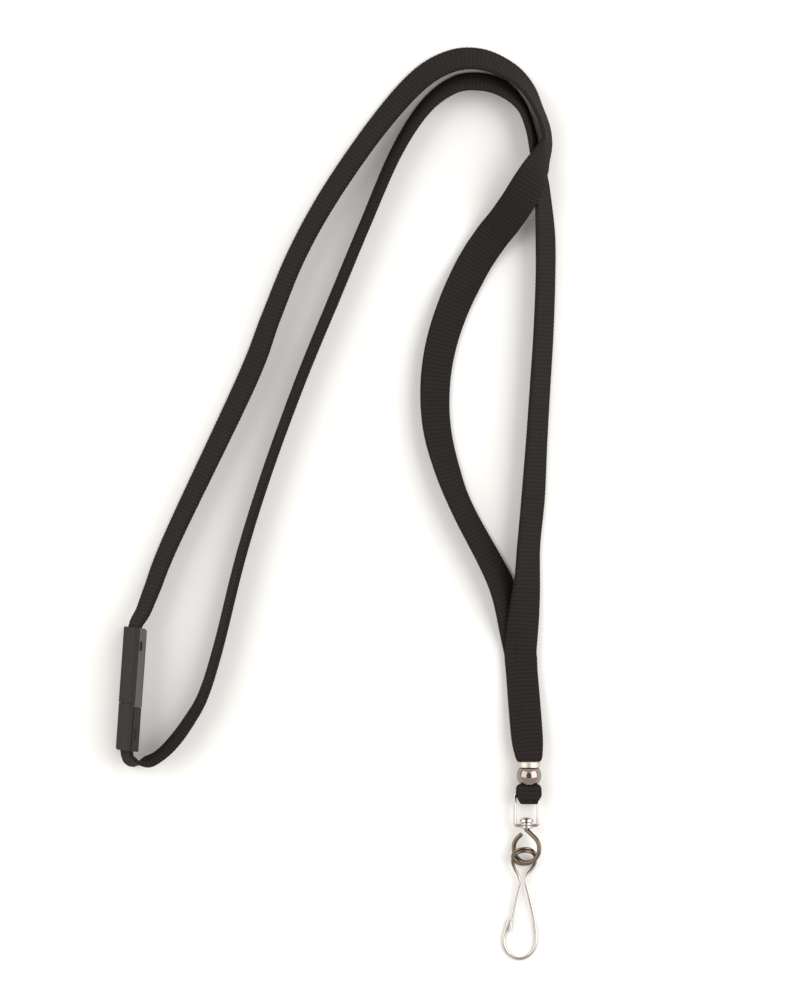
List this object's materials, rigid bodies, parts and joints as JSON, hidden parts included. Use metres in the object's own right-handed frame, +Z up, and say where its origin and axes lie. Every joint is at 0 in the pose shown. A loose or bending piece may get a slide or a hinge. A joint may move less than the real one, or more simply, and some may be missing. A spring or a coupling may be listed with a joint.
{
  "type": "lanyard",
  "caption": "Dark braided neck lanyard with a plastic breakaway clasp, a crimped metal bead and a swivelling spring wire hook, lying on a table.",
  "frame": {"origin": "The middle of the bounding box in plan, on the surface that the lanyard lies on.", "axes": "+Y runs along the lanyard from the hook end towards the far end of the neck loop, +X runs across it towards the side with the bead and hook, +Z is up from the surface."},
  "size_m": [0.1292, 0.268, 0.0133],
  "materials": {
    "braid": "flat woven polyester tube, soft and matt",
    "clasp_plastic": "moulded acetal with a satin skin",
    "nickel": "bright nickel plate, lightly handled",
    "dark_nickel": "nickel plate worn towards grey"
  },
  "bodies": {
    "strap": {"strap_arm_left": "braid", "strap_arm_right": "braid", "strap_loop": "braid", "crimp_bead": "nickel", "socket_body": "clasp_plastic", "socket_cover": "clasp_plastic"},
    "plug": {"plug_body": "clasp_plastic", "plug_cover": "clasp_plastic", "strap_return": "braid"},
    "bail": {"swivel_bail": "nickel"},
    "swivel": {"swivel_eye": "dark_nickel"},
    "hook": {"hook_wire": "nickel"},
    "gate": {"hook_gate": "nickel"}
  },
  "joints": [
    {"name": "clasp_pull", "type": "slide", "parent": "strap", "child": "plug", "axis": [-0.0698, -0.9976, 0], "range_m": [0, 0.01], "deforming": ["strap_return"]},
    {"name": "bail_swing", "type": "hinge", "parent": "strap", "child": "bail", "pos_m": [0.05645, -0.08465, 0.00365], "axis": [1, 0, 0], "range_deg": [-60, 60], "deforming": ["strap_loop"]},
    {"name": "swivel_spin", "type": "hinge", "parent": "bail", "child": "swivel", "pos_m": [0.05645, -0.094, 0.00365], "axis": [0, 1, 0], "continuous": true},
    {"name": "hook_swing", "type": "hinge", "parent": "swivel", "child": "hook", "pos_m": [0.05645, -0.10528, 0.00365], "axis": [0.8829, 0, 0.4695], "range_deg": [-5, 45]},
    {"name": "gate_open", "type": "hinge", "parent": "hook", "child": "gate", "pos_m": [0.05445, -0.1106, 0.00185], "axis": [0, 0, 1], "range_deg": [0, 10]}
  ]
}
